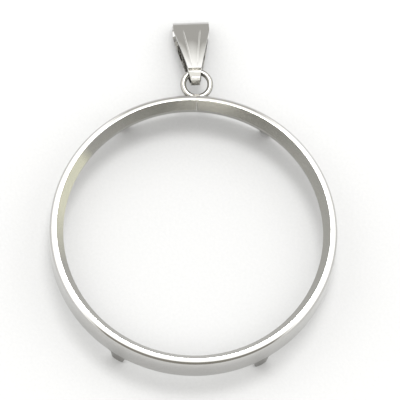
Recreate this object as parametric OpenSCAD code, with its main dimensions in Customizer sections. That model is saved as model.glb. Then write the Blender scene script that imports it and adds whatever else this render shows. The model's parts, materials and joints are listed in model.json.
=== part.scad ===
// Four-prong coin bezel pendant, lying on its prong tips with its front face up.
// Origin: centre of the plane that the coin's front face rests on. +Z is the front, +Y is up to the bail.

/* [Coin] */
// Diameter of the coin that the bezel holds
coin_d = 38.1; // [30:0.1:46]
// Thickness of the coin at its edge
coin_t = 2.4; // [1.6:0.1:3.4]
// Radial room round the coin
coin_room = 0.1; // [0.05:0.01:0.2]
// Room between the coin's back and the back edge of the wall
coin_slack = 0.05; // [0.02:0.01:0.3]

/* [Bezel band] */
// Thickness of the wall round the coin
wall_t = 0.45; // [0.35:0.01:0.6]
// Height of the front rim above the coin's front face
rim_h = 2.2; // [1.8:0.05:3]
// Radius of the rim's rounded outer edge
rim_round = 0.88; // [0.5:0.01:1.1]
// How far the lip reaches in over the coin from the seat wall
lip_reach = 1.45; // [1.2:0.05:2]
// Height of the lip's straight inner edge
lip_edge_h = 0.65; // [0.3:0.05:1]
// Width of the soldered butt seam in the band
band_seam_w = 0.12; // [0.06:0.01:0.2]

/* [Prongs] */
// Angle of each prong from the pendant's up and down line
prong_angle = 30; // [20:1:40]
// Reach of the prongs past the back edge of the wall
prong_len = 1.95; // [1.5:0.05:2.6]
// Width of a prong at its root
prong_root_w = 2.3; // [1.8:0.05:3]
// Width of a prong at its tip
prong_tip_w = 1.6; // [1.1:0.05:1.8]
// Corner radius of a prong's tip
prong_corner_r = 0.3; // [0.1:0.05:0.5]
// Gap between the band and the round root that a prong bends about
prong_gap = 0.08; // [0.06:0.01:0.1]

/* [Jump ring] */
// Outer diameter of the jump ring
ring_od = 4.5; // [3.6:0.1:5.6]
// Diameter of the jump ring's wire
wire_d = 0.8; // [0.6:0.05:0.95]
// Drop of the jump ring's plane below the front face of the rim
ring_drop = 2.3; // [1.8:0.05:3]
// Depth of the flat filed on the ring where it meets the wall
ring_flat = 0.05; // [0.02:0.01:0.1]
// Width of the soldered seam in the ring
ring_seam_w = 0.1; // [0.05:0.01:0.2]
// Angle of the ring's seam from the wall, towards the left
ring_seam_angle = 17; // [0:1:60]
// Radius of the solder fillets between ring and wall
solder_fillet_r = 0.35; // [0.2:0.05:0.6]
// Thickness of the solder between ring and wall
solder_t = 0.46; // [0.3:0.02:0.56]

/* [Bail] */
// Thickness of the bail's sheet
bail_t = 0.35; // [0.25:0.01:0.42]
// Length from the centre of the lower turn to the centre of the upper fold
bail_reach = 8.8; // [7.4:0.1:10.6]
// Outer radius of the upper fold that a chain runs through
bail_fold_r = 1.3; // [1.1:0.05:1.7]
// Room between the ring's wire and the inside of the lower turn
turn_room = 0.11; // [0.06:0.005:0.2]
// Radius of the long curve of the front and back leaves
bail_crown_r = 25; // [20:1:60]
// Width of the bail at its upper fold
bail_top_w = 4.9; // [4:0.1:6]
// Room on each side of the bail's lower turn in the hole of the jump ring
bail_end_room = 0.875; // [0.7:0.025:1]
// Width of the front leaf at its cut end
leaf_end_w = 1.8; // [1.4:0.05:2.4]
// Length of the front leaf's straight-sided stretch below the centre of the upper fold
bail_shoulder = 1; // [0.4:0.1:2]
// Length by which the sheet's end lies under the front leaf
lap_len = 0.3; // [0.2:0.05:0.4]
// Distance of the front leaf's cut end above the centre of the lower turn
leaf_end = 0.9; // [0.5:0.05:1.2]
// Height of the solder bead in the step of the lap
lap_bead = 0.2; // [0.1:0.05:0.25]
// Width of a flute pressed into the front leaf
flute_w = 0.3; // [0.15:0.05:0.5]
// Depth of a flute
flute_depth = 0.12; // [0.05:0.01:0.16]
// Spacing of the flutes halfway up the front leaf
flute_spacing = 1.5; // [1:0.05:2]
// Angle by which each flute leans in towards the lower turn
flute_lean = 7; // [0:1:9]

/* [How the bail lies] */
// Play that lets the bail sit low on the ring's wire
bail_slack = 0.5; // [0.35:0.05:0.8]
// Sideways offset of the bail on the ring, to the left
bail_offset = 0.2; // [0:0.05:0.3]
// Turn of the bail in the plane of the pendant, to the left
bail_sway = 4.5; // [0:0.5:10]

/* [Hidden] */

$fn = 96;
cut = 1;                                        // how far a cutter runs past what it cuts
solder_sink = 0.05;                             // how far solder flows into what it joins

// Band
seat_r = coin_d / 2 + coin_room;
outer_r = seat_r + wall_t;
lip_r = seat_r - lip_reach;
seat_depth = coin_t + coin_slack;
back_z = -seat_depth;
tip_z = back_z - prong_len;

// Prongs: the hinge line runs through the middle of the wall's thickness
prong_axis_r = seat_r + wall_t / 2;
prong_axis_z = back_z - prong_gap - wall_t / 2;

// Jump ring
ring_mid_r = (ring_od - wire_d) / 2;
ring_y = outer_r + ring_od / 2 - ring_flat;
ring_z = rim_h - ring_drop;

// Bail, in its own side view: u runs from the lower turn to the fold, w towards the front
turn_in_r = wire_d / 2 + turn_room;
turn_r = turn_in_r + bail_t;
leaf_r = turn_r + bail_t;                       // the front leaf lies over the end of the sheet
front_from_turn = bail_crown_r - leaf_r;
back_from_turn = bail_crown_r - turn_r;
crown_from_fold = bail_crown_r - bail_fold_r;
front_u = (pow(front_from_turn, 2) - pow(crown_from_fold, 2) + pow(bail_reach, 2)) / (2 * bail_reach);
front_w = -sqrt(pow(front_from_turn, 2) - pow(front_u, 2));
back_u = (pow(back_from_turn, 2) - pow(crown_from_fold, 2) + pow(bail_reach, 2)) / (2 * bail_reach);
back_w = sqrt(pow(back_from_turn, 2) - pow(back_u, 2));
front_dir_turn = [0, 0] - [front_u, front_w];
front_dir_fold = [bail_reach, 0] - [front_u, front_w];
back_dir_turn = [0, 0] - [back_u, back_w];
back_dir_fold = [bail_reach, 0] - [back_u, back_w];
shoulder_u = bail_reach - bail_shoulder;

bail_end_w = ring_od - 2 * wire_d - 2 * bail_end_room;

function front_in(u) = front_w + sqrt(pow(bail_crown_r - bail_t, 2) - pow(u - front_u, 2));
function back_in(u) = back_w - sqrt(pow(bail_crown_r - bail_t, 2) - pow(u - back_u, 2));
function bail_width(u) = bail_end_w + (bail_top_w - bail_end_w) * min(1, (u + turn_r) / (bail_reach + turn_r));
function reach_out(from, dir, r) = from + dir * (r / norm(dir));

// Where the bail hangs on the ring: the wire's arc across the bail sweeps a circle about the hinge,
// which keeps half the lap's thickness clear of the front leaf
hang_half_w = bail_width(ring_mid_r / 2) / 2 + bail_offset;
arc_low = sqrt(pow(ring_mid_r, 2) - pow(hang_half_w, 2));
sweep_r = (ring_mid_r - arc_low + wire_d) / 2;
hinge_u = sweep_r + bail_slack;
hinge_w = (front_in(hinge_u) - bail_t / 2 + back_in(hinge_u)) / 2;
hinge_in_ring = (ring_mid_r + arc_low) / 2;
hinge_x = -bail_offset * cos(bail_sway) - hinge_in_ring * sin(bail_sway);
hinge_y = ring_y - bail_offset * sin(bail_sway) + hinge_in_ring * cos(bail_sway);

// The fold rests on the plane of the prong tips, which sets how far the bail droops
arm_u = bail_reach - hinge_u;
bail_droop = asin((ring_z - tip_z - bail_fold_r) / norm([arm_u, hinge_w])) - atan2(hinge_w, arm_u);

echo(prong_axis_r = prong_axis_r, prong_axis_z = prong_axis_z);
echo(hinge = [hinge_x, hinge_y, ring_z], droop = bail_droop, sweep_r = sweep_r);

// ---- Bezel band ----

module band_profile() {
    polygon([
        [seat_r, back_z], [outer_r, back_z], [outer_r, rim_h - rim_round],
        [outer_r - rim_round, rim_h], [lip_r, lip_edge_h], [lip_r, 0], [seat_r, 0]
    ]);
    translate([outer_r - rim_round, rim_h - rim_round]) intersection() {
        circle(r = rim_round);
        square(rim_round + cut);
    }
}

module band_ring() {
    rotate_extrude($fn = 180) band_profile();
}

module band_seam_slot() {
    translate([-band_seam_w / 2, lip_r - cut, back_z - cut])
        cube([band_seam_w, lip_reach + wall_t + 2 * cut, seat_depth + rim_h + 2 * cut]);
}

module bezel_band() {
    color("silver") difference() {
        band_ring();
        band_seam_slot();
    }
}

module band_seam_solder() {
    color("gainsboro") intersection() {
        band_ring();
        band_seam_slot();
    }
}

// ---- Prongs ----

module prong_outline() {
    root = prong_root_w / 2;
    tip = prong_tip_w / 2;
    corner_z = tip_z + prong_corner_r;
    corner_x = tip - prong_corner_r;
    polygon([[-root, prong_axis_z], [-tip, corner_z], [-corner_x, corner_z], [-corner_x, tip_z],
             [corner_x, tip_z], [corner_x, corner_z], [tip, corner_z], [root, prong_axis_z]]);
    for (side = [-1, 1])
        translate([side * corner_x, corner_z]) circle(r = prong_corner_r);
}

// A prong at the top of the ring, curved like the wall, with a round root that it bends about
module prong() {
    intersection() {
        translate([0, 0, tip_z]) difference() {
            cylinder(r = outer_r, h = prong_len, $fn = 180);
            translate([0, 0, -cut]) cylinder(r = seat_r, h = prong_len + 2 * cut, $fn = 180);
        }
        translate([0, outer_r + cut, 0]) rotate([90, 0, 0])
            linear_extrude(wall_t + 2 * cut) prong_outline();
    }
    translate([-prong_root_w / 2, prong_axis_r, prong_axis_z]) rotate([0, 90, 0])
        cylinder(r = wall_t / 2, h = prong_root_w);
}

module prong_at(angle) {
    color("silver") rotate([0, 0, -angle]) prong();
}

module prong_upper_left() prong_at(-prong_angle);
module prong_upper_right() prong_at(prong_angle);
module prong_lower_right() prong_at(180 - prong_angle);
module prong_lower_left() prong_at(180 + prong_angle);

// ---- Jump ring ----

module ring_wire() {
    difference() {
        translate([0, ring_y, ring_z]) rotate_extrude() translate([ring_mid_r, 0]) circle(d = wire_d);
        translate([0, 0, ring_z - wire_d]) cylinder(r = outer_r, h = 2 * wire_d, $fn = 180);
    }
}

module ring_seam_slot() {
    translate([0, ring_y, ring_z]) rotate([0, 0, -ring_seam_angle])
        translate([-ring_seam_w / 2, -ring_od, -wire_d])
            cube([ring_seam_w, ring_od, 2 * wire_d]);
}

module jump_ring() {
    color("silver") difference() {
        ring_wire();
        ring_seam_slot();
    }
}

module jump_ring_seam_solder() {
    color("gainsboro") intersection() {
        ring_wire();
        ring_seam_slot();
    }
}

// A web of solder with a hollow fillet on each side, between the wall and the ring
module ring_to_band_solder() {
    wall_reach = outer_r + solder_fillet_r;
    ring_reach = ring_od / 2 + solder_fillet_r;
    fillet_y = (pow(wall_reach, 2) - pow(ring_reach, 2) + pow(ring_y, 2)) / (2 * ring_y);
    fillet_x = sqrt(pow(wall_reach, 2) - pow(fillet_y, 2));
    on_wall = [fillet_x, fillet_y] * (outer_r / wall_reach);
    on_ring = [0, ring_y] + ([fillet_x, fillet_y] - [0, ring_y]) * (ring_od / 2 / ring_reach);
    color("gainsboro") translate([0, 0, ring_z - solder_t / 2]) linear_extrude(solder_t) difference() {
        polygon([
            [-on_wall[0], on_wall[1] - solder_sink], [on_wall[0], on_wall[1] - solder_sink], on_wall,
            on_ring, [-on_ring[0], on_ring[1]], [-on_wall[0], on_wall[1]]
        ]);
        for (side = [-1, 1])
            translate([side * fillet_x, fillet_y]) circle(r = solder_fillet_r);
    }
}

// ---- Bail ----

// The whole side view of the loop as a solid outline, set in from the sheet's outer face
module loop_outline(inset) {
    far = 2 * leaf_r;
    circle(r = turn_r - inset);
    translate([bail_reach, 0]) circle(r = bail_fold_r - inset);
    intersection() {
        translate([front_u, front_w]) circle(r = bail_crown_r - inset, $fn = 360);
        translate([back_u, back_w]) circle(r = bail_crown_r - inset, $fn = 360);
        polygon([
            [0, 0], reach_out([0, 0], front_dir_turn, far), reach_out([bail_reach, 0], front_dir_fold, far),
            [bail_reach, 0], reach_out([bail_reach, 0], back_dir_fold, far),
            reach_out([0, 0], back_dir_turn, far)
        ]);
    }
}

// All that lies further than r from the centre of the front leaf's curve, from below the turn up to u
module beyond_leaf(r, u) {
    far = bail_crown_r + cut;
    below = reach_out([front_u, front_w], front_dir_turn - [lap_len, 0], far);
    above = reach_out([front_u, front_w], [u, front_in(u)] - [front_u, front_w], far);
    difference() {
        polygon([[front_u, front_w], below, above]);
        translate([front_u, front_w]) circle(r = r, $fn = 360);
    }
}

// The sheet's end lies under the front leaf, which is cut off just above the turn
module bail_side_view() {
    difference() {
        loop_outline(0);
        difference() {
            loop_outline(bail_t);
            beyond_leaf(bail_crown_r - 2 * bail_t, leaf_end + lap_len);
        }
        beyond_leaf(bail_crown_r - bail_t, leaf_end);
    }
}

// The blank's outline: the back leaf and the turn taper from the fold, the front leaf from its shoulder
module bail_blank(deep) {
    low = -turn_r - cut;
    high = bail_reach + bail_fold_r + cut;
    translate([0, 0, -deep]) linear_extrude(2 * deep) polygon([
        [-bail_width(low) / 2, low], [bail_width(low) / 2, low],
        [bail_top_w / 2, bail_reach], [bail_top_w / 2, high],
        [-bail_top_w / 2, high], [-bail_top_w / 2, bail_reach]
    ]);
    linear_extrude(deep) polygon([
        [-leaf_end_w / 2, leaf_end], [leaf_end_w / 2, leaf_end],
        [bail_top_w / 2, shoulder_u], [bail_top_w / 2, bail_reach],
        [-bail_top_w / 2, bail_reach], [-bail_top_w / 2, shoulder_u]
    ]);
}

// A V-shaped flute that follows the curve of the front leaf
module flute(side) {
    leaf_mid = bail_reach / 2;
    translate([side * flute_spacing / 2, leaf_mid, 0]) rotate([0, 0, -side * flute_lean])
        translate([0, front_u - leaf_mid, front_w]) rotate([0, 90, 0])
            rotate_extrude($fn = 180) polygon([
                [bail_crown_r - flute_depth, 0],
                [bail_crown_r + flute_depth, flute_w],
                [bail_crown_r + flute_depth, -flute_w]
            ]);
}

module bail_shape() {
    difference() {
        intersection() {
            translate([-bail_top_w / 2 - cut, 0, 0]) rotate([90, 0, 90])
                linear_extrude(bail_top_w + 2 * cut) bail_side_view();
            bail_blank(2 * bail_fold_r);
        }
        intersection() {
            union() {
                flute(-1);
                flute(1);
            }
            translate([-bail_top_w / 2, leaf_end, 0])
                cube([bail_top_w, bail_reach - leaf_end, 2 * bail_fold_r]);
        }
    }
}

module on_ring() {
    translate([hinge_x, hinge_y, ring_z]) rotate([0, 0, bail_sway]) rotate([-bail_droop, 0, 0])
        translate([0, -hinge_u, -hinge_w]) children();
}

module bail() {
    color("silver") on_ring() bail_shape();
}

// A bead of solder in the step between the cut end of the front leaf and the lower turn
module bail_lap_solder() {
    low_w = front_in(leaf_end) - solder_sink;
    color("gainsboro") on_ring() intersection() {
        translate([-bail_top_w / 2, 0, 0]) rotate([90, 0, 90]) linear_extrude(bail_top_w)
            polygon([[leaf_end, low_w], [leaf_end, low_w + solder_sink + lap_bead],
                     [leaf_end - lap_bead, low_w]]);
        bail_blank(2 * bail_fold_r);
    }
}

bezel_band();
band_seam_solder();
prong_upper_left();
prong_upper_right();
prong_lower_right();
prong_lower_left();
jump_ring();
jump_ring_seam_solder();
ring_to_band_solder();
bail();
bail_lap_solder();
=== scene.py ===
"""A polished silver four-prong coin bezel pendant, empty, lying face up on a white table."""
import json
import math

import bmesh
import bpy
from mathutils import Matrix, Vector


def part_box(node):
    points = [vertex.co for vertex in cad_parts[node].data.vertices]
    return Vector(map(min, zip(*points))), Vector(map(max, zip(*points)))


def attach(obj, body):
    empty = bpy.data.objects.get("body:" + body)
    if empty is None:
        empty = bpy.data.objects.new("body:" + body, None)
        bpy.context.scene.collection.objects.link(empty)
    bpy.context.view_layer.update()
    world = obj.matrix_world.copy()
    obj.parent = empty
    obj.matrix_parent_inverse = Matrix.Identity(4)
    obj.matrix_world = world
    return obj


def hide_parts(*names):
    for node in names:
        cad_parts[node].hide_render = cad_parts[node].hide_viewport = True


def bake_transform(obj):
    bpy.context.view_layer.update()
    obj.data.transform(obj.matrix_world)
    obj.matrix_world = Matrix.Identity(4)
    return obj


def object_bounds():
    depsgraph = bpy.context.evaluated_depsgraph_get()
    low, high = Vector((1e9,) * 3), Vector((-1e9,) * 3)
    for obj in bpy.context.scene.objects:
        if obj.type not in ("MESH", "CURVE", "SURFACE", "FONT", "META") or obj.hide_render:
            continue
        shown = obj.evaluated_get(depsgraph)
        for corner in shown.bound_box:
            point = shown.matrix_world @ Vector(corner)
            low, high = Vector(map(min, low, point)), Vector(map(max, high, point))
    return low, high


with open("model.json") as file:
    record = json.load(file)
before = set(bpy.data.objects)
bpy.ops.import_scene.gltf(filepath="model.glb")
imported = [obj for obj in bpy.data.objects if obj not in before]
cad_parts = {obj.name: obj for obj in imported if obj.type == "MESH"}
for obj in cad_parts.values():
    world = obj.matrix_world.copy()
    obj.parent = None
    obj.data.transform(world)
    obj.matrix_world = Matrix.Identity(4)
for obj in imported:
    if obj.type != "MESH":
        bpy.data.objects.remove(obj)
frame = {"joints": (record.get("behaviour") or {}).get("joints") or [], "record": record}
CAD_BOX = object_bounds()
RECORD = frame["record"]
JOINTS = {joint["name"]: joint for joint in frame["joints"]}
MM = 0.001
UP = (0, 0, 1)


def joint_place(name):
    """A joint's point and the direction of its axis."""
    joint = JOINTS[name]
    return Vector(joint["pos_m"]), Vector(joint["axis"])


# ---- Sizes from the frame, in metres ----

BAND_LOW, BAND_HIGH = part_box("bezel_band")
RING_LOW, RING_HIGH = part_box("jump_ring")
SEAT_R = RECORD["mounts"][0]["dims"]["r_mm"] * MM
OUTER_R = BAND_HIGH.x
BACK_Z = BAND_LOW.z
RIM_Z = BAND_HIGH.z
TABLE_Z = CAD_BOX[0].z
WIRE_R = (RING_HIGH.z - RING_LOW.z) / 2
RING_Z = (RING_HIGH.z + RING_LOW.z) / 2
RING_MID_R = (RING_HIGH.x - RING_LOW.x) / 2 - WIRE_R
RING_Y = RING_HIGH.y - RING_MID_R - WIRE_R
HINGE, HINGE_AXIS = joint_place("bail_swing")

# ---- The maker's own sizes, in metres ----

# The band: a round rim, a slope down to the lip's edge, and the strip of solder in its seam.
RIM_ROUND = 0.88 * MM
LIP_R = SEAT_R - 1.45 * MM
LIP_EDGE_H = 0.65 * MM
LIP_SOFT = 0.11 * MM
EDGE_SOFT = 0.06 * MM
SEAM_W = 0.12 * MM
SEAM_STRIP_W = 1.4 * SEAM_W
SEAM_SINK = 0.012 * MM

# A prong: its widths and rounds, how far it runs into the wall, and half its bend's length.
PRONG_ROOT_W = 2.3 * MM
PRONG_TIP_W = 1.6 * MM
PRONG_TIP_SKIN = 0.012 * MM
PRONG_CORNER = 0.3 * MM
PRONG_FLARE = 0.28 * MM
PRONG_INTO_WALL = 0.1 * MM
PRONG_PROUD = 0.004 * MM

# The ring's seam, and the neck of solder between the ring and the wall.
RING_SEAM_ANGLE = math.radians(-90 - 17)
RING_SEAM_SINK = 0.022 * MM
NECK_INTO_WALL = 0.12 * MM
NECK_REACH = 0.62 * MM
NECK_W = 1.15 * MM
NECK_H = 0.42 * MM
NECK_WAIST = 0.5
NECK_CURVE = 2.2

# The bail: REACH is from the turn's centre to the fold's, CROWN_R is each leaf's long curve,
# and the sheet is made a hair thinner than it measures, to part the two faces of its lap.
SHEET_T = 0.35 * MM
SHEET_T_MADE = SHEET_T * 0.985
SHEET_SOFT = 0.05 * MM
REACH = 8.8 * MM
FOLD_R = 1.3 * MM
CROWN_R = 25 * MM
TURN_ROOM = 0.11 * MM
TURN_R = WIRE_R + TURN_ROOM + SHEET_T
LEAF_R = TURN_R + SHEET_T
TOP_W = 4.9 * MM
END_W = 1.15 * MM
LEAF_END_W = 1.8 * MM
SHOULDER = 1 * MM
LEAF_END = 0.9 * MM
LAP = 0.3 * MM
BAIL_SLACK = 0.5 * MM
BAIL_OFFSET = 0.2 * MM

# The two flutes down the front leaf, and the bead of solder under its cut end.
FLUTE_W = 0.2 * MM
FLUTE_DEPTH = 0.06 * MM
FLUTE_SPACING = 1.5 * MM
FLUTE_LEAN = math.radians(7)
FLUTE_RUN_OUT = 0.3 * MM
FLUTE_CURVE = 1.3
BEAD_R = 0.13 * MM
BEAD_SOFT = 0.05 * MM
BEAD_SHY = 0.12 * MM
BEAD_BELOW_LEAF = 0.02 * MM
BEAD_SINK = 0.01 * MM

# ---- How finely the rounds are made, and what counts as the same ----

BAND_STEPS = 360
SEAM_STEPS = 3
RIM_STEPS = 16
LIP_STEPS = 6
EDGE_STEPS = 4
PRONG_ROWS = 64
PRONG_STEPS = 24
RING_STEPS = 200
WIRE_SIDES = 56
NECK_SIDES = 48
NECK_ROWS = 14
FOLD_SIDES = 96
LEAF_STEPS = 60
TURN_STEPS = 40
LAP_STEPS = 10
FLUTE_LINES = 5
FLUTE_STROKES = 6
BEAD_SIDES = 32
SOFT_STEPS = 3

# How near counts as there: to a stated place, to an open edge and to a flute's line.
NEAR = 0.02 * MM
EDGE_NEAR = 0.03 * MM
SHARE_NEAR = 0.04
SAME_POINT = 1e-7
SAME_ROW = 2e-8
EXACT = 1e-9

# Faces that meet at less than this angle, in degrees, are shaded as one surface.
SMOOTH_STRIP = 35
SMOOTH_SHEET = 40
SMOOTH_SOLDER = 50
SMOOTH_WIRE = 60


# ---- Working by hand: selecting and shaping ----

def clear_bench():
    """Leaves nothing selected, in object mode."""
    if bpy.context.object and bpy.context.object.mode != "OBJECT":
        bpy.ops.object.mode_set(mode="OBJECT")
    bpy.ops.object.select_all(action="DESELECT")


def start_piece(name):
    """Names the primitive just added and opens it in edit mode."""
    piece = bpy.context.active_object
    piece.name = name
    piece.data.name = name
    bpy.ops.object.mode_set(mode="EDIT")
    return piece


def middle(part):
    """The middle of a vertex, an edge or a face in edit mode, in the row frame."""
    place = bpy.context.object.matrix_world
    if isinstance(part, bmesh.types.BMVert):
        return place @ part.co
    corners = part.verts
    return place @ (sum((v.co for v in corners), Vector()) / len(corners))


def pick(kind, test):
    """Selects just the vertices, edges or faces that pass the test."""
    bpy.ops.mesh.select_mode(type=kind)
    bpy.ops.mesh.select_all(action="DESELECT")
    mesh = bmesh.from_edit_mesh(bpy.context.object.data)
    parts = {"VERT": mesh.verts, "EDGE": mesh.edges, "FACE": mesh.faces}[kind]
    chosen = [part for part in parts if test(part)]
    for part in chosen:
        part.select_set(True)
    mesh.select_flush_mode()
    bmesh.update_edit_mesh(bpy.context.object.data)
    return len(chosen)


def pick_all(kind="FACE"):
    bpy.ops.mesh.select_mode(type=kind)
    bpy.ops.mesh.select_all(action="SELECT")


def near(part, place):
    return (middle(part) - Vector(place)).length < NEAR


def cut(point, normal, drop=True):
    """Cuts all that is selected by a plane, and drops what lies on the normal's side."""
    bpy.ops.mesh.bisect(plane_co=point, plane_no=normal, clear_outer=drop, threshold=EXACT)


def soften_corner(place, width, steps):
    """Rounds one corner of a flat profile."""
    pick("VERT", lambda v: near(v, place))
    bpy.ops.mesh.bevel(offset=width, segments=steps, affect="VERTICES", clamp_overlap=True)


def move(x=0, y=0, z=0):
    bpy.ops.transform.translate(value=(x, y, z))


def resize(x=1, y=1, z=1, about=(0, 0, 0)):
    bpy.ops.transform.resize(value=(x, y, z), center_override=about)


def join_doubles():
    pick_all()
    bpy.ops.mesh.remove_doubles(threshold=SAME_POINT)


def face_outwards():
    pick_all()
    bpy.ops.mesh.normals_make_consistent(inside=False)


def tidy_mesh():
    join_doubles()
    face_outwards()


def apply_place():
    """Puts the piece's place into its mesh."""
    bpy.ops.object.transform_apply(location=True, rotation=True, scale=True)


def finish_piece(piece, smooth_angle):
    """Leaves edit mode, puts the piece's place into its mesh and shades it."""
    bpy.ops.object.mode_set(mode="OBJECT")
    apply_place()
    shade(piece, smooth_angle)


def shade(piece, smooth_angle):
    """Smooth shading that leaves the flats flat beside their softened edges."""
    bpy.ops.object.shade_smooth_by_angle(angle=math.radians(smooth_angle))
    apply_modifier(piece, "WEIGHTED_NORMAL", mode="FACE_AREA", weight=50, keep_sharp=True)


def apply_modifier(piece, kind, **settings):
    modifier = piece.modifiers.new(kind.title(), kind)
    for name, value in settings.items():
        setattr(modifier, name, value)
    bpy.ops.object.modifier_apply(modifier=modifier.name)


def soften_edges(piece, sharper_than):
    """A small round on every edge that turns by more than the angle, in degrees."""
    apply_modifier(piece, "BEVEL", width=SHEET_SOFT, segments=SOFT_STEPS, limit_method="ANGLE",
                   angle_limit=math.radians(sharper_than), harden_normals=False)


def hand_over(piece, slot, finish, *nodes):
    """Gives a piece its finish and hides the nodes that it stands for; the slot is not used."""
    piece.data.materials.clear()
    piece.data.materials.append(finish)
    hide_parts(*nodes)


# ---- Bezel band ----

def draw_band_profile(grow=0.0):
    """The band's section as one flat face in the plane y = 0, on the +X side."""
    lip_r, outer_r, rim_z = LIP_R - grow, OUTER_R + grow, RIM_Z + grow
    back_z, lip_h = BACK_Z - grow, LIP_EDGE_H + grow
    width, height = outer_r - lip_r, rim_z + grow
    place = (lip_r + width / 2, 0, height / 2 - grow)
    bpy.ops.mesh.primitive_plane_add(size=1, location=place, rotation=(math.pi / 2, 0, 0))
    piece = start_piece("band_profile")
    resize(width, 1, height, about=place)
    slope = Vector((outer_r - RIM_ROUND - lip_r, 0, rim_z - lip_h))
    pick_all()
    cut((lip_r, 0, lip_h), (-slope.z, 0, slope.x))
    soften_corner((outer_r, 0, rim_z), RIM_ROUND, RIM_STEPS)
    pick_all()
    cut((SEAT_R, 0, 0), (1, 0, 0), drop=False)
    wall_middle = (SEAT_R + outer_r) / 2
    pick("EDGE", lambda e: near(e, (wall_middle, 0, -grow)))
    bpy.ops.mesh.extrude_edges_move(TRANSFORM_OT_translate={"value": (0, 0, back_z + grow)})
    join_doubles()
    bpy.ops.mesh.dissolve_faces()
    soften_corner((lip_r, 0, lip_h), LIP_SOFT, LIP_STEPS)
    soften_corner((lip_r, 0, -grow), EDGE_SOFT, EDGE_STEPS)
    soften_corner((SEAT_R, 0, back_z), EDGE_SOFT, EDGE_STEPS)
    soften_corner((outer_r, 0, back_z), EDGE_SOFT, EDGE_STEPS)
    return piece


def spin_section(piece, start_angle, sweep, steps):
    """Turns the drawn section round the pendant's axis, from start_angle through sweep."""
    pick_all()
    bpy.ops.mesh.spin(steps=steps, angle=-sweep, center=(0, 0, 0), axis=UP)
    tidy_mesh()
    bpy.ops.object.mode_set(mode="OBJECT")
    apply_place()
    piece.matrix_world = Matrix.Rotation(start_angle, 4, "Z")
    apply_place()


def make_band(finish):
    """The profiled strip, bent into a ring that stays open by the width of its seam."""
    clear_bench()
    piece = draw_band_profile()
    gap = SEAM_W / OUTER_R
    spin_section(piece, math.pi / 2 + gap / 2, 2 * math.pi - gap, BAND_STEPS)
    piece.name = piece.data.name = "polished_bezel_band"
    shade(piece, SMOOTH_STRIP)
    hand_over(piece, "polished_silver", finish, "bezel_band")
    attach(piece, "frame")


def make_band_seam(finish):
    """The strip of solder in the gap, a hair lower than the band's surface."""
    clear_bench()
    piece = draw_band_profile(-SEAM_SINK)
    sweep = SEAM_STRIP_W / OUTER_R
    spin_section(piece, math.pi / 2 - sweep / 2, sweep, SEAM_STEPS)
    piece.name = piece.data.name = "band_solder_seam"
    shade(piece, SMOOTH_STRIP)
    hand_over(piece, "silver_solder", finish, "band_seam_solder")
    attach(piece, "frame")


# ---- Prongs ----

def prong_half_width(z):
    """Half the width of a prong at a height: flared at the wall, tapered to a round tip."""
    down = (BACK_Z - z) / (BACK_Z - TABLE_Z)
    half = (PRONG_ROOT_W + (PRONG_TIP_W - PRONG_ROOT_W) * max(0, down)) / 2
    below_wall = max(0.0, BACK_Z - z)
    if below_wall < PRONG_FLARE:
        half += PRONG_FLARE - math.sqrt(PRONG_FLARE ** 2 - (PRONG_FLARE - below_wall) ** 2)
    above_tip = z - TABLE_Z
    if above_tip < PRONG_CORNER:
        rest = PRONG_CORNER - above_tip
        half -= PRONG_CORNER - math.sqrt(max(0.0, PRONG_CORNER ** 2 - rest ** 2))
    return half


PRONG_TOP = BACK_Z + PRONG_INTO_WALL
PRONG_DEPTH = PRONG_TOP - TABLE_Z
PRONG_HALF_WIDEST = PRONG_ROOT_W / 2 + PRONG_FLARE


def cut_strip(name):
    """A strip of the ring as thick as the wall, centred on +X and as wide as the prong's flare."""
    inner, outer = SEAT_R - PRONG_PROUD, OUTER_R + PRONG_PROUD
    place = ((inner + outer) / 2, 0, PRONG_TOP - PRONG_DEPTH / 2)
    bpy.ops.mesh.primitive_plane_add(size=1, location=place, rotation=(math.pi / 2, 0, 0))
    piece = start_piece(name)
    resize(outer - inner, 1, PRONG_DEPTH, about=place)
    pick("EDGE", lambda e: abs(e.verts[0].co.x - e.verts[1].co.x) < EXACT)
    bpy.ops.mesh.subdivide(number_cuts=PRONG_ROWS - 1)
    half_sweep = PRONG_HALF_WIDEST / OUTER_R
    spin_section(piece, -half_sweep, 2 * half_sweep, PRONG_STEPS)
    return piece


def narrow_strip():
    """Brings each row of the strip to the prong's own width."""
    row_h = PRONG_DEPTH / PRONG_ROWS
    for row in range(PRONG_ROWS + 1):
        z = PRONG_TOP - PRONG_DEPTH * row / PRONG_ROWS
        half = prong_half_width(max(z, TABLE_Z + PRONG_TIP_SKIN))
        pick("VERT", lambda v: abs(middle(v).z - z) < row_h / 4)
        resize(1, half / PRONG_HALF_WIDEST, 1, about=(0, 0, z))


def make_prong(name, joint_name, node, finish):
    """A tab of the wall reaching down from its root, turned round to where its fold joint lies."""
    clear_bench()
    piece = cut_strip(name)
    bpy.ops.object.mode_set(mode="EDIT")
    narrow_strip()
    tidy_mesh()
    bpy.ops.object.mode_set(mode="OBJECT")
    soften_edges(piece, sharper_than=55)
    root, _ = joint_place(joint_name)
    piece.matrix_world = Matrix.Rotation(math.atan2(root.y, root.x), 4, "Z")
    bpy.ops.object.mode_set(mode="EDIT")
    finish_piece(piece, SMOOTH_SHEET)
    hand_over(piece, "polished_silver", finish, node)
    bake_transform(piece)


# ---- Jump ring and its solder ----

RING_PLACE = Vector((0, RING_Y, RING_Z))


def off_ring_seam(part):
    """How far round the ring a vertex lies from the seam, in radians."""
    spot = middle(part) - RING_PLACE
    turn = math.atan2(spot.y, spot.x) - RING_SEAM_ANGLE
    return abs((turn + math.pi) % (2 * math.pi) - math.pi)


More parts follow.
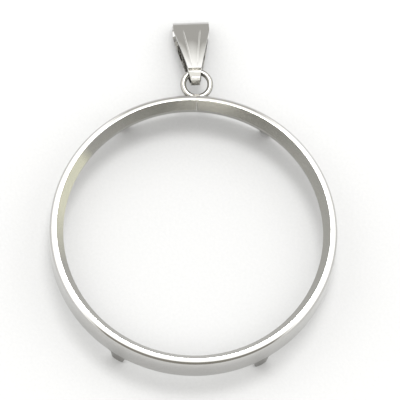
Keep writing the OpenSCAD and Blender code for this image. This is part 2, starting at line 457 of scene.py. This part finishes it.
def make_jump_ring(finish):
    """The closed wire ring, with the soldered seam pressed in as a fine notch."""
    clear_bench()
    bpy.ops.mesh.primitive_torus_add(location=RING_PLACE, major_radius=RING_MID_R,
                                     minor_radius=WIRE_R, major_segments=RING_STEPS,
                                     minor_segments=WIRE_SIDES)
    piece = start_piece("round_wire_jump_ring")
    just_over_half_a_step = 0.55 * 2 * math.pi / RING_STEPS
    pick("VERT", lambda v: off_ring_seam(v) < just_over_half_a_step)
    bpy.ops.transform.shrink_fatten(value=-RING_SEAM_SINK)
    tidy_mesh()
    finish_piece(piece, SMOOTH_WIRE)
    hand_over(piece, "silver_wire", finish, "jump_ring", "jump_ring_seam_solder")
    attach(piece, "frame")


def neck_flare(share):
    """The solder's girth along its length: full at both ends and drawn in at the waist."""
    return NECK_WAIST + (1 - NECK_WAIST) * abs(2 * share - 1) ** NECK_CURVE


def make_ring_solder(finish):
    """A neck of solder, drawn in between the wall and the ring and flaring onto both."""
    clear_bench()
    start_y = OUTER_R - NECK_INTO_WALL
    length = NECK_INTO_WALL + NECK_REACH
    place = (0, start_y, RING_Z)
    bpy.ops.mesh.primitive_circle_add(vertices=NECK_SIDES, radius=1, location=place,
                                      rotation=(math.pi / 2, 0, 0), fill_type="NGON")
    piece = start_piece("ring_solder_fillet")
    resize(NECK_W, 1, NECK_H, about=place)
    for row in range(1, NECK_ROWS + 1):
        share = row / NECK_ROWS
        grow = neck_flare(share) / neck_flare((row - 1) / NECK_ROWS)
        bpy.ops.mesh.extrude_region_move()
        move(y=length / NECK_ROWS)
        resize(grow, 1, grow, about=(0, start_y + length * share, RING_Z))
    tidy_mesh()
    finish_piece(piece, SMOOTH_SOLDER)
    hand_over(piece, "silver_solder", finish, "ring_to_band_solder")
    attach(piece, "frame")


# ---- Bail ----
# Drawn in its own side view: x across the sheet, y from the lower turn to the fold, z to the front.

def crown_centre(turn_side):
    """Centre of a leaf's long curve, from its distance to the turn's centre: how far along
    the bail it lies, and how far from its middle line."""
    fold_side = CROWN_R - FOLD_R
    along = (turn_side ** 2 - fold_side ** 2 + REACH ** 2) / (2 * REACH)
    return along, math.sqrt(turn_side ** 2 - along ** 2)


FRONT_U, FRONT_DOWN = crown_centre(CROWN_R - LEAF_R)
BACK_U, BACK_UP = crown_centre(CROWN_R - TURN_R)
FRONT_CENTRE = Vector((0, FRONT_U, -FRONT_DOWN))
BACK_CENTRE = Vector((0, BACK_U, BACK_UP))
FOLD_CENTRE = Vector((0, REACH, 0))
TURN_CENTRE = Vector((0, 0, 0))


def front_inner(u):
    """Height of the front leaf's inner face."""
    return -FRONT_DOWN + math.sqrt((CROWN_R - SHEET_T) ** 2 - (u - FRONT_U) ** 2)


def back_inner(u):
    """Height of the back leaf's inner face."""
    return BACK_UP - math.sqrt((CROWN_R - SHEET_T) ** 2 - (u - BACK_U) ** 2)


def bail_width(u):
    """Width of the back leaf, the turn and the lapped end."""
    return END_W + (TOP_W - END_W) * min(1, (u + TURN_R) / (REACH + TURN_R))


def leaf_width(u):
    """Width of the front leaf."""
    taper = REACH - SHOULDER - LEAF_END
    return LEAF_END_W + (TOP_W - LEAF_END_W) * min(1, (u - LEAF_END) / taper)


def bail_place():
    """Carries the bail from its own side view to where it lies on the ring and the table."""
    half_w = bail_width(RING_MID_R / 2) / 2 + BAIL_OFFSET
    arc_low = math.sqrt(RING_MID_R ** 2 - half_w ** 2)
    hinge_u = (RING_MID_R - arc_low + 2 * WIRE_R) / 2 + BAIL_SLACK
    hinge_w = (front_inner(hinge_u) - SHEET_T / 2 + back_inner(hinge_u)) / 2
    arm = REACH - hinge_u
    drop = (HINGE.z - TABLE_Z - FOLD_R) / math.hypot(arm, hinge_w)
    droop = math.asin(drop) - math.atan2(hinge_w, arm)
    sway = math.atan2(HINGE_AXIS.y, HINGE_AXIS.x)
    return (Matrix.Translation(HINGE) @ Matrix.Rotation(sway, 4, "Z")
            @ Matrix.Rotation(-droop, 4, "X") @ Matrix.Translation((0, -hinge_u, -hinge_w)))


def angle_about(point, centre):
    """Direction of a point from a centre in the side view."""
    spoke = point - centre
    return math.atan2(spoke.z, spoke.y)


def spin_edge(place, centre, sweep, steps):
    """Turns the sheet's open edge at place round a centre in the side view."""
    def is_open_edge(edge):
        across = abs(edge.verts[0].co.x - edge.verts[1].co.x) > TOP_W / 2
        spot = middle(edge)
        away = math.hypot(spot.y - place.y, spot.z - place.z)
        return edge.is_boundary and across and away < EDGE_NEAR

    chosen = pick("EDGE", is_open_edge)
    if chosen != 1:
        raise RuntimeError(f"{chosen} edges at {place}")
    bpy.ops.mesh.spin(steps=steps, angle=-sweep, center=centre, axis=(1, 0, 0))


def on_circle(centre, radius, toward):
    """The point of a circle that lies on the line from its centre to another point."""
    return centre + (toward - centre).normalized() * radius


def bend_fold():
    """The wide fold that a chain runs through: a tube, cut open where the leaves leave it."""
    bpy.ops.mesh.primitive_cylinder_add(vertices=FOLD_SIDES, radius=FOLD_R, depth=TOP_W,
                                        location=FOLD_CENTRE, rotation=(0, math.pi / 2, 0),
                                        end_fill_type="NOTHING")
    apply_place()
    piece = start_piece("folded_sheet_bail")
    to_front = (FOLD_CENTRE - FRONT_CENTRE).normalized()
    to_back = (FOLD_CENTRE - BACK_CENTRE).normalized()
    pick_all()
    cut(FOLD_CENTRE, (0, -to_front.z, to_front.y))
    pick_all()
    cut(FOLD_CENTRE, (0, to_back.z, -to_back.y))
    return piece, FOLD_CENTRE + to_front * FOLD_R, FOLD_CENTRE + to_back * FOLD_R


def on_leaf_curve(radius, u):
    """The point at u on a circle round the front leaf's centre."""
    return Vector((0, u, -FRONT_DOWN + math.sqrt(radius ** 2 - (u - FRONT_U) ** 2)))


def bend_between(start, end, centre, steps, backwards=False):
    """Carries the sheet's open edge on from start to end, round a centre."""
    sweep = angle_about(end, centre) - angle_about(start, centre)
    if backwards:
        sweep = sweep % (2 * math.pi) - 2 * math.pi
    spin_edge(start, centre, sweep, steps)


def bend_sheet(front_edge, back_edge):
    """Both leaves, the turn round the ring's wire, and the end that laps under the front leaf."""
    bend_between(front_edge, on_leaf_curve(CROWN_R, LEAF_END), FRONT_CENTRE, LEAF_STEPS)
    back_turn = on_circle(BACK_CENTRE, CROWN_R, TURN_CENTRE)
    bend_between(back_edge, back_turn, BACK_CENTRE, LEAF_STEPS)
    front_turn = TURN_CENTRE + (TURN_CENTRE - FRONT_CENTRE).normalized() * TURN_R
    bend_between(back_turn, front_turn, TURN_CENTRE, TURN_STEPS, backwards=True)
    tongue_r = (front_turn - FRONT_CENTRE).length
    bend_between(front_turn, on_leaf_curve(tongue_r, LEAF_END + LAP), FRONT_CENTRE, LAP_STEPS)


def taper_sheet():
    """Narrows the sheet row by row towards the turn."""
    mesh = bmesh.from_edit_mesh(bpy.context.object.data)
    rows = sorted({(round(v.co.y, 8), round(v.co.z, 8)) for v in mesh.verts})
    for y, z in rows:
        if y >= REACH:
            continue
        row = Vector((0, y, z))
        pick("VERT", lambda v: abs(v.co.y - y) < SAME_ROW and abs(v.co.z - z) < SAME_ROW)
        width = leaf_width(y) if on_front_leaf(row) else bail_width(y)
        resize(width / TOP_W, 1, 1, about=row)


def make_bail(finish):
    """One strip, folded into a closed loop round the ring's wire."""
    clear_bench()
    piece, front_edge, back_edge = bend_fold()
    bend_sheet(front_edge, back_edge)
    join_doubles()
    taper_sheet()
    press_flutes()
    face_outwards()
    bpy.ops.object.mode_set(mode="OBJECT")
    make_outward(piece)
    apply_modifier(piece, "SOLIDIFY", thickness=SHEET_T_MADE, offset=-1, use_even_offset=True)
    soften_edges(piece, sharper_than=60)
    piece.matrix_world = bail_place()
    bpy.ops.object.mode_set(mode="EDIT")
    finish_piece(piece, SMOOTH_SHEET)
    hand_over(piece, "bail_silver", finish, "bail")
    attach(piece, "bail")


def make_outward(piece):
    """Turns the open sheet's faces to the outside of the loop, before it gets its thickness."""
    top = max(piece.data.polygons, key=lambda face: face.center.y)
    if top.normal.y < 0:
        bpy.ops.object.mode_set(mode="EDIT")
        pick_all()
        bpy.ops.mesh.flip_normals()
        bpy.ops.object.mode_set(mode="OBJECT")


def on_front_leaf(spot):
    """Whether a place lies on the outer face of the front leaf."""
    off_curve = math.hypot(spot.y - FRONT_CENTRE.y, spot.z - FRONT_CENTRE.z) - CROWN_R
    return spot.z > 0 and abs(off_curve) < NEAR and spot.y < REACH


def flute_share(spot, side):
    """How far across a flute a place lies, from 0 at its valley to 1 at its edge."""
    x_here = side * (FLUTE_SPACING / 2 + (spot.y - REACH / 2) * math.tan(FLUTE_LEAN))
    return abs(spot.x - x_here) * math.cos(FLUTE_LEAN) / (FLUTE_W / 2)


def score_flutes():
    """Cuts the lines along the front leaf that the flutes are pressed on."""
    for side in (-1, 1):
        across = Vector((math.cos(FLUTE_LEAN), -side * math.sin(FLUTE_LEAN), 0))
        valley = Vector((side * FLUTE_SPACING / 2, REACH / 2, 0))
        for line in range(-FLUTE_LINES + 1, FLUTE_LINES):
            pick("FACE", lambda f: on_front_leaf(middle(f)))
            cut(valley + across * (FLUTE_W / 2 * line / (FLUTE_LINES - 1)), across, drop=False)


def press_flutes():
    """Two flutes down the front leaf, leaning in towards the turn, pressed in strokes that
    each stop a little shorter, so that they run out at both ends."""
    def is_pressed(v, side, share, low, high):
        spot = middle(v)
        return (low < spot.y < high and on_front_leaf(spot)
                and abs(flute_share(spot, side) - share) < SHARE_NEAR)

    score_flutes()
    for stroke in range(1, FLUTE_STROKES + 1):
        low, high = LEAF_END + stroke * FLUTE_RUN_OUT, REACH - stroke * FLUTE_RUN_OUT
        for side in (-1, 1):
            for line in range(FLUTE_LINES - 1):
                share = line / (FLUTE_LINES - 1)
                pick("VERT", lambda v: is_pressed(v, side, share, low, high))
                move(z=-FLUTE_DEPTH / FLUTE_STROKES * (1 - share) ** FLUTE_CURVE)


def make_lap_solder(finish):
    """A bead of solder in the step under the front leaf's cut end, coloured dark as painted shade in
    that step.
    """
    clear_bench()
    width = bail_width(LEAF_END) - BEAD_SHY
    place = (0, LEAF_END - BEAD_BELOW_LEAF, front_inner(LEAF_END) - BEAD_SINK)
    bpy.ops.mesh.primitive_cylinder_add(vertices=BEAD_SIDES, radius=BEAD_R, depth=width,
                                        location=place, rotation=(0, math.pi / 2, 0),
                                        end_fill_type="NGON")
    piece = start_piece("bail_lap_solder_bead")
    pick("FACE", lambda f: len(f.verts) == BEAD_SIDES)
    bpy.ops.mesh.bevel(offset=BEAD_SOFT, segments=SOFT_STEPS)
    tidy_mesh()
    bpy.ops.object.mode_set(mode="OBJECT")
    apply_place()
    piece.matrix_world = bail_place()
    bpy.ops.object.mode_set(mode="EDIT")
    finish_piece(piece, SMOOTH_SHEET)
    hand_over(piece, "silver_solder", finish, "bail_lap_solder")
    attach(piece, "bail")


# ---- Finishes ----

class Value:
    """A number that varies over a surface, written as plain arithmetic."""

    def __init__(self, finish, socket):
        self.finish = finish
        self.socket = socket

    def _sum(self, operation, *others):
        inputs = {i: other for i, other in enumerate(others)}
        return self.finish.node("ShaderNodeMath", {"operation": operation}, inputs)

    def __add__(self, other):
        return self._sum("ADD", self, other)

    __radd__ = __add__

    def __sub__(self, other):
        return self._sum("SUBTRACT", self, other)

    def __rsub__(self, other):
        return self._sum("SUBTRACT", other, self)

    def __mul__(self, other):
        return self._sum("MULTIPLY", self, other)

    __rmul__ = __mul__

    def __truediv__(self, other):
        return self._sum("DIVIDE", self, other)

    def __pow__(self, other):
        return self._sum("POWER", self, other)

    def size(self):
        return self._sum("ABSOLUTE", self)

    def out(self, name):
        """Another output of the same node."""
        return Value(self.finish, self.socket.node.outputs[name])


class Finish:
    """A material, or the sky, as a tree of nodes."""

    def __init__(self, owner):
        owner.use_nodes = True
        self.owner = owner
        self.tree = owner.node_tree
        self.tree.nodes.clear()

    def node(self, kind, settings=None, inputs=None, output=0):
        """A node with its settings, and a value or another node's output in each socket."""
        made = self.tree.nodes.new(kind)
        for name, value in (settings or {}).items():
            setattr(made, name, value)
        for name, value in (inputs or {}).items():
            if isinstance(value, Value):
                self.tree.links.new(value.socket, made.inputs[name])
            else:
                made.inputs[name].default_value = value
        return Value(self, made.outputs[output]) if made.outputs else made

    def spot(self):
        """The place on the piece, in metres."""
        return self.node("ShaderNodeTexCoord", output="Object")

    def axes(self, vector):
        """The three parts of a vector."""
        x = self.node("ShaderNodeSeparateXYZ", None, {"Vector": vector})
        return x, x.out("Y"), x.out("Z")

    def stretched(self, scale):
        """The place on the piece, scaled by a different amount along each axis."""
        return self.node("ShaderNodeMapping", {"vector_type": "POINT"},
                         {"Vector": self.spot(), "Scale": scale})

    def noise(self, where, scale, detail, roughness):
        """Soft unevenness, about 0.5 on average, in scale lumps to a metre."""
        return self.node("ShaderNodeTexNoise", {"noise_dimensions": "3D"},
                         {"Vector": where, "Scale": scale, "Detail": detail, "Roughness": roughness})

    def angle(self, rise, run):
        """The direction of a slope, in radians."""
        return self.node("ShaderNodeMath", {"operation": "ARCTAN2"}, {0: rise, 1: run})

    def rescale(self, value, low, high):
        """From 0 at low to 1 at high, and no further."""
        return self.node("ShaderNodeMapRange", {"clamp": True},
                         {"Value": value, "From Min": low, "From Max": high})

    def blend(self, share, first, second):
        """The first colour where the share is 0, and the second where it is 1."""
        return self.node("ShaderNodeMix", {"data_type": "RGBA"}, {0: share, 6: first, 7: second},
                         output=2)

    def bump(self, height, strength=1.0, distance=1.0):
        """The surface's normal, tilted as a height over it would."""
        return self.node("ShaderNodeBump", None,
                         {"Strength": strength, "Distance": distance, "Height": height})

    def surface(self, sockets):
        """Closes a material with one shader."""
        shader = self.node("ShaderNodeBsdfPrincipled", None, sockets)
        self.node("ShaderNodeOutputMaterial", None, {"Surface": shader})
        return self.owner


def grey(level):
    return (level, level, level, 1)


# Colours of the metal, of the same metal where it is dulled, and of the metal darkened for painted
# shade and lightened for a painted highlight.
SILVER = (0.56, 0.555, 0.54, 1)
SILVER_DULL = (0.46, 0.45, 0.42, 1)
# Painted shade: the band's inner slope gets a darker silver than the rim.
SILVER_SLOPE_SHADED = (0.345, 0.34, 0.315, 1)
# Painted highlight: a lighter, warmer silver for a stretch of the band's slope.
SILVER_PAINTED_HIGHLIGHT = (0.66, 0.65, 0.52, 1)
# Painted shade: the prongs get a darker silver, for the shade under the band's lip.
TAB_SILVER_SHADED = (0.30, 0.295, 0.28, 1)
WIRE_SILVER = (0.30, 0.295, 0.275, 1)
SOLDER = (0.52, 0.51, 0.49, 1)
SOLDER_DULL = (0.36, 0.34, 0.30, 1)
# Soot and painted shade on the bail's lower turn.
SOOT_AND_SHADE = (0.26, 0.25, 0.22, 1)
# Painted shade: the solder bead in the step under the bail's front leaf is coloured dark.
SHADED_SOLDER = (0.24, 0.23, 0.20, 1)
SHADED_SOLDER_DULL = (0.14, 0.13, 0.11, 1)

# How far clouds and specks of tarnish take the metal to its dulled colour.
CLOUD_SHARE = 0.35
SPECK_SHARE = 0.25

# Soot and painted shade on the bail's lower turn: the unevenness of its edge, and where it ends and
# where it is full.
SOOT_SHADE_EDGE = 0.5 * MM
SOOT_SHADE_NONE = 0.35 * MM
SOOT_SHADE_FULL = 0.1 * MM

# The band: the rim's haze, what the slope adds to it, where the slope begins inside the rim,
# and how slowly the turning lines change along their length.
RIM_HAZE = 0.05
SLOPE_HAZE = 0.14
SLOPE_STARTS = 0.02 * MM
SLOPE_FULL = 0.14 * MM
LINE_RUN = 4 * MM

# A painted highlight on the slope's left: it fades in and out over these shares of the
# radius, measured upwards, and over this width to the left.
HIGHLIGHT_FROM = (-0.3, 0.15)
HIGHLIGHT_TO = (0.62, 0.53)
HIGHLIGHT_LEFT = (0, -5 * MM)


def tarnish_clouds(finish, where):
    """Soft clouds of tarnish, from 0 where the metal is clean."""
    return finish.rescale(finish.noise(where, scale=180, detail=4, roughness=0.6), 0.42, 0.72)


def tarnish_specks(finish, where):
    """Small dark specks, from 0 where the metal is clean."""
    return finish.rescale(finish.noise(where, scale=2600, detail=2, roughness=0.5), 0.66, 0.78)


def buffing_waves(finish, where):
    """The slow unevenness that a buffing wheel leaves, as a height."""
    return finish.noise(where, scale=260, detail=1, roughness=0.4)


def hairlines(finish):
    """Fine scratches along X, as a height and as the share of the surface that they dull."""
    lines = finish.noise(finish.stretched((900, 12000, 900)), scale=1.0, detail=3, roughness=0.7)
    return lines, finish.rescale(lines, 0.5, 0.75)


def silver(name, bright, dull, haze, wave, scratch, soot_shade_below=None):
    """Polished silver: soft waves from the buffing wheel, hairlines, and a breath of tarnish.

    Below a given height along Y, the metal is darkened: soot from the soldering flame, and painted
    shade on the bail's lower turn."""
    finish = Finish(bpy.data.materials.new(name))
    where = finish.spot()
    clouds = tarnish_clouds(finish, where)
    specks = tarnish_specks(finish, where)
    hairs, worn = hairlines(finish)
    cross_hairs = finish.noise(finish.stretched((16000, 1400, 5000)), scale=1.0, detail=2,
                               roughness=0.6)
    colour = finish.blend(clouds * CLOUD_SHARE + specks * SPECK_SHARE, bright, dull)
    # Soot and painted shade: darker towards the bail's lower turn.
    if soot_shade_below is not None:
        _, y, _ = finish.axes(where)
        uneven = y + finish.noise(where, scale=1500, detail=3, roughness=0.6) * SOOT_SHADE_EDGE
        soot_shade = finish.rescale(uneven, soot_shade_below + SOOT_SHADE_NONE, soot_shade_below + SOOT_SHADE_FULL)
        colour = finish.blend(soot_shade * (0.6 + 0.4 * specks), colour, SOOT_AND_SHADE)
    rough = haze + clouds * (0.5 * haze) + worn * (0.7 * haze) + specks * haze
    height = buffing_waves(finish, where) * wave + hairs * scratch + cross_hairs * (0.6 * scratch)
    return finish.surface({"Base Color": colour, "Metallic": 1.0, "Roughness": rough,
                           "Normal": finish.bump(height)})


def turned_silver(name, bright, dull, slope_shade, highlight_colour):
    """The band's finish: a bright polished rim, and an inner slope with fine turning lines and a
    darker colour that is painted shade.

    On the left, a stretch of the slope is lightened as a painted highlight."""
    finish = Finish(bpy.data.materials.new(name))
    where = finish.spot()
    x, y, z = finish.axes(where)
    radius = (x * x + y * y) ** 0.5
    slope_r = OUTER_R - RIM_ROUND
    slope = finish.rescale(radius, slope_r - SLOPE_STARTS, slope_r - SLOPE_FULL)
    clouds = tarnish_clouds(finish, where)
    specks = tarnish_specks(finish, where)
    hairs, worn = hairlines(finish)
    around = finish.angle(y, x) * LINE_RUN
    along_lines = finish.node("ShaderNodeCombineXYZ", None, {"X": radius, "Y": around, "Z": z})
    turning_lines = finish.noise(along_lines, scale=16000, detail=3, roughness=0.7)
    up = y / radius
    # Painted highlight: the slope's colour is lightened on its left, in place of a reflection.
    painted_highlight = (finish.rescale(up, *HIGHLIGHT_FROM) * finish.rescale(up, *HIGHLIGHT_TO)
               * finish.rescale(x, *HIGHLIGHT_LEFT))
    rim_colour = finish.blend(clouds * CLOUD_SHARE + specks * SPECK_SHARE, bright, dull)
    # The slope's darker colour is painted shade.
    slope_colour = finish.blend(painted_highlight, slope_shade, highlight_colour)
    colour = finish.blend(slope, rim_colour, slope_colour)
    rough = RIM_HAZE + slope * SLOPE_HAZE + clouds * 0.03 + specks * 0.04 + worn * 0.03
    height = (buffing_waves(finish, where) * 5e-6 + hairs * 1.2e-7
              + turning_lines * (2e-7 + slope * 4e-7))
    return finish.surface({"Base Color": colour, "Metallic": 1.0, "Roughness": rough,
                           "Normal": finish.bump(height)})


def paper_white():
    """The white table top: matt, with a faint tooth."""
    finish = Finish(bpy.data.materials.new("white_table"))
    tooth = finish.noise(finish.spot(), scale=2500, detail=3, roughness=0.6)
    colour = finish.blend(finish.rescale(tooth, 0.3, 0.7), grey(0.44), grey(0.46))
    return finish.surface({"Base Color": colour, "Roughness": 0.75, "Specular IOR Level": 0.2,
                           "Normal": finish.bump(tooth, strength=0.25, distance=0.04 * MM)})


# ---- Table, light and camera ----

TABLE_W = 4

SENSOR_W = 36
LENS = 1200
VIEW_W = 54.4 * MM
VIEW_AZIMUTH = math.radians(-5)
VIEW_ELEVATION = math.radians(70)
VIEW_ROLL = math.radians(6.7)
AIM_RIGHT = 0.85 * MM
AIM_UP = 3.91 * MM

# The tent's greys start and end at these leans from overhead, in degrees, and at these
# distances to the side, as shares of 1.
FAR_LEAN = (46, 68)
NEAR_LEAN = (39, 50)
FAR_SIDE = (0.3, 0.42)
NEAR_SIDE = (0.72, 0.9)
TENT_WHITE = (2.1, 2.1, 2.08, 1)
FAR_GREY = (0.66, 0.65, 0.62, 1)
NEAR_GREY = (0.40, 0.38, 0.34, 1)

PANEL_W = 0.35
PANEL_POWER = 5
PANEL_AWAY = 1
PANEL_RIGHT = 0.05
PANEL_TILT = math.radians(19)


def make_camera():
    """A long lens above the pendant's foot, leaning and rolled a little."""
    data = bpy.data.cameras.new("camera")
    camera = bpy.data.objects.new("camera", data)
    bpy.context.scene.collection.objects.link(camera)
    data.sensor_width = SENSOR_W
    data.lens = LENS
    data.clip_start = 0.01
    data.clip_end = 10
    distance = VIEW_W * LENS / SENSOR_W
    level = math.cos(VIEW_ELEVATION)
    back = Vector((math.sin(VIEW_AZIMUTH) * level, -math.cos(VIEW_AZIMUTH) * level,
                   math.sin(VIEW_ELEVATION)))
    turn = (-back).to_track_quat("-Z", "Y").to_matrix().to_4x4() @ Matrix.Rotation(VIEW_ROLL, 4, "Z")
    right, up = turn.col[0].to_3d(), turn.col[1].to_3d()
    aim = Vector((0, 0, RIM_Z)) + right * AIM_RIGHT + up * AIM_UP
    camera.matrix_world = Matrix.Translation(aim + back * distance) @ turn
    bpy.context.scene.camera = camera


def make_table():
    clear_bench()
    bpy.ops.mesh.primitive_plane_add(size=TABLE_W, location=(0, 0, TABLE_Z))
    table = bpy.context.active_object
    table.name = "table_top"
    table.data.materials.append(paper_white())


def make_sky():
    """A white tent of light: open white above and at the sides, greyer at the two ends."""
    world = bpy.data.worlds.new("studio_tent")
    bpy.context.scene.world = world
    finish = Finish(world)
    x, y, z = finish.axes(finish.node("ShaderNodeTexCoord", output="Generated"))
    lean = finish.angle(y, z) * (180 / math.pi)
    far_end = finish.rescale(lean, *FAR_LEAN) * (1 - finish.rescale(x.size(), *FAR_SIDE))
    near_end = finish.rescale(lean * -1, *NEAR_LEAN) * (1 - finish.rescale(x.size(), *NEAR_SIDE))
    shade = finish.blend(far_end, TENT_WHITE, FAR_GREY)
    shade = finish.blend(near_end, shade, NEAR_GREY)
    tent = finish.node("ShaderNodeBackground", None, {"Color": shade, "Strength": 1.0})
    finish.node("ShaderNodeOutputWorld", None, {"Surface": tent})


def make_key_light():
    """A round panel of light nearly overhead, leaning over the pendant's far end."""
    data = bpy.data.lights.new("overhead_panel", "AREA")
    data.shape = "DISK"
    data.size = PANEL_W
    data.energy = PANEL_POWER
    light = bpy.data.objects.new("overhead_panel", data)
    bpy.context.scene.collection.objects.link(light)
    light.location = (PANEL_RIGHT, PANEL_AWAY * math.sin(PANEL_TILT),
                      PANEL_AWAY * math.cos(PANEL_TILT))
    light.rotation_euler = (-light.location).to_track_quat("-Z", "Y").to_euler()
    light.visible_camera = False


make_camera()
bpy.context.scene.view_settings.view_transform = "Standard"
polished = turned_silver("band_silver_painted_shade_and_highlight", SILVER, SILVER_DULL, SILVER_SLOPE_SHADED, SILVER_PAINTED_HIGHLIGHT)
# The prongs' dark silver is painted shade.
shaded_tab_finish = silver("tab_silver_painted_shade", TAB_SILVER_SHADED, SOLDER_DULL, haze=0.12, wave=4e-6, scratch=4e-7)
wire = silver("drawn_wire_silver", WIRE_SILVER, SOLDER_DULL, haze=0.06, wave=3e-6, scratch=2e-7)
sheet = silver("polished_bail_silver", SILVER, SILVER_DULL, haze=0.05, wave=4e-6, scratch=2e-7,
               soot_shade_below=HINGE.y - 0.2 * MM)
solder = silver("silver_solder", SOLDER, SOLDER_DULL, haze=0.12, wave=1e-5, scratch=4e-7)
# The lap bead's dark colour is painted shade.
shaded_bead_finish = silver("lap_solder_painted_shade", SHADED_SOLDER, SHADED_SOLDER_DULL, haze=0.2, wave=1e-5, scratch=4e-7)

make_band(polished)
make_band_seam(solder)
for corner in ("upper_left", "upper_right", "lower_right", "lower_left"):
    make_prong("prong_tab_" + corner, corner + "_fold", "prong_" + corner, shaded_tab_finish)
make_jump_ring(wire)
make_ring_solder(solder)
make_bail(sheet)
make_lap_solder(shaded_bead_finish)
make_table()
make_sky()
make_key_light()
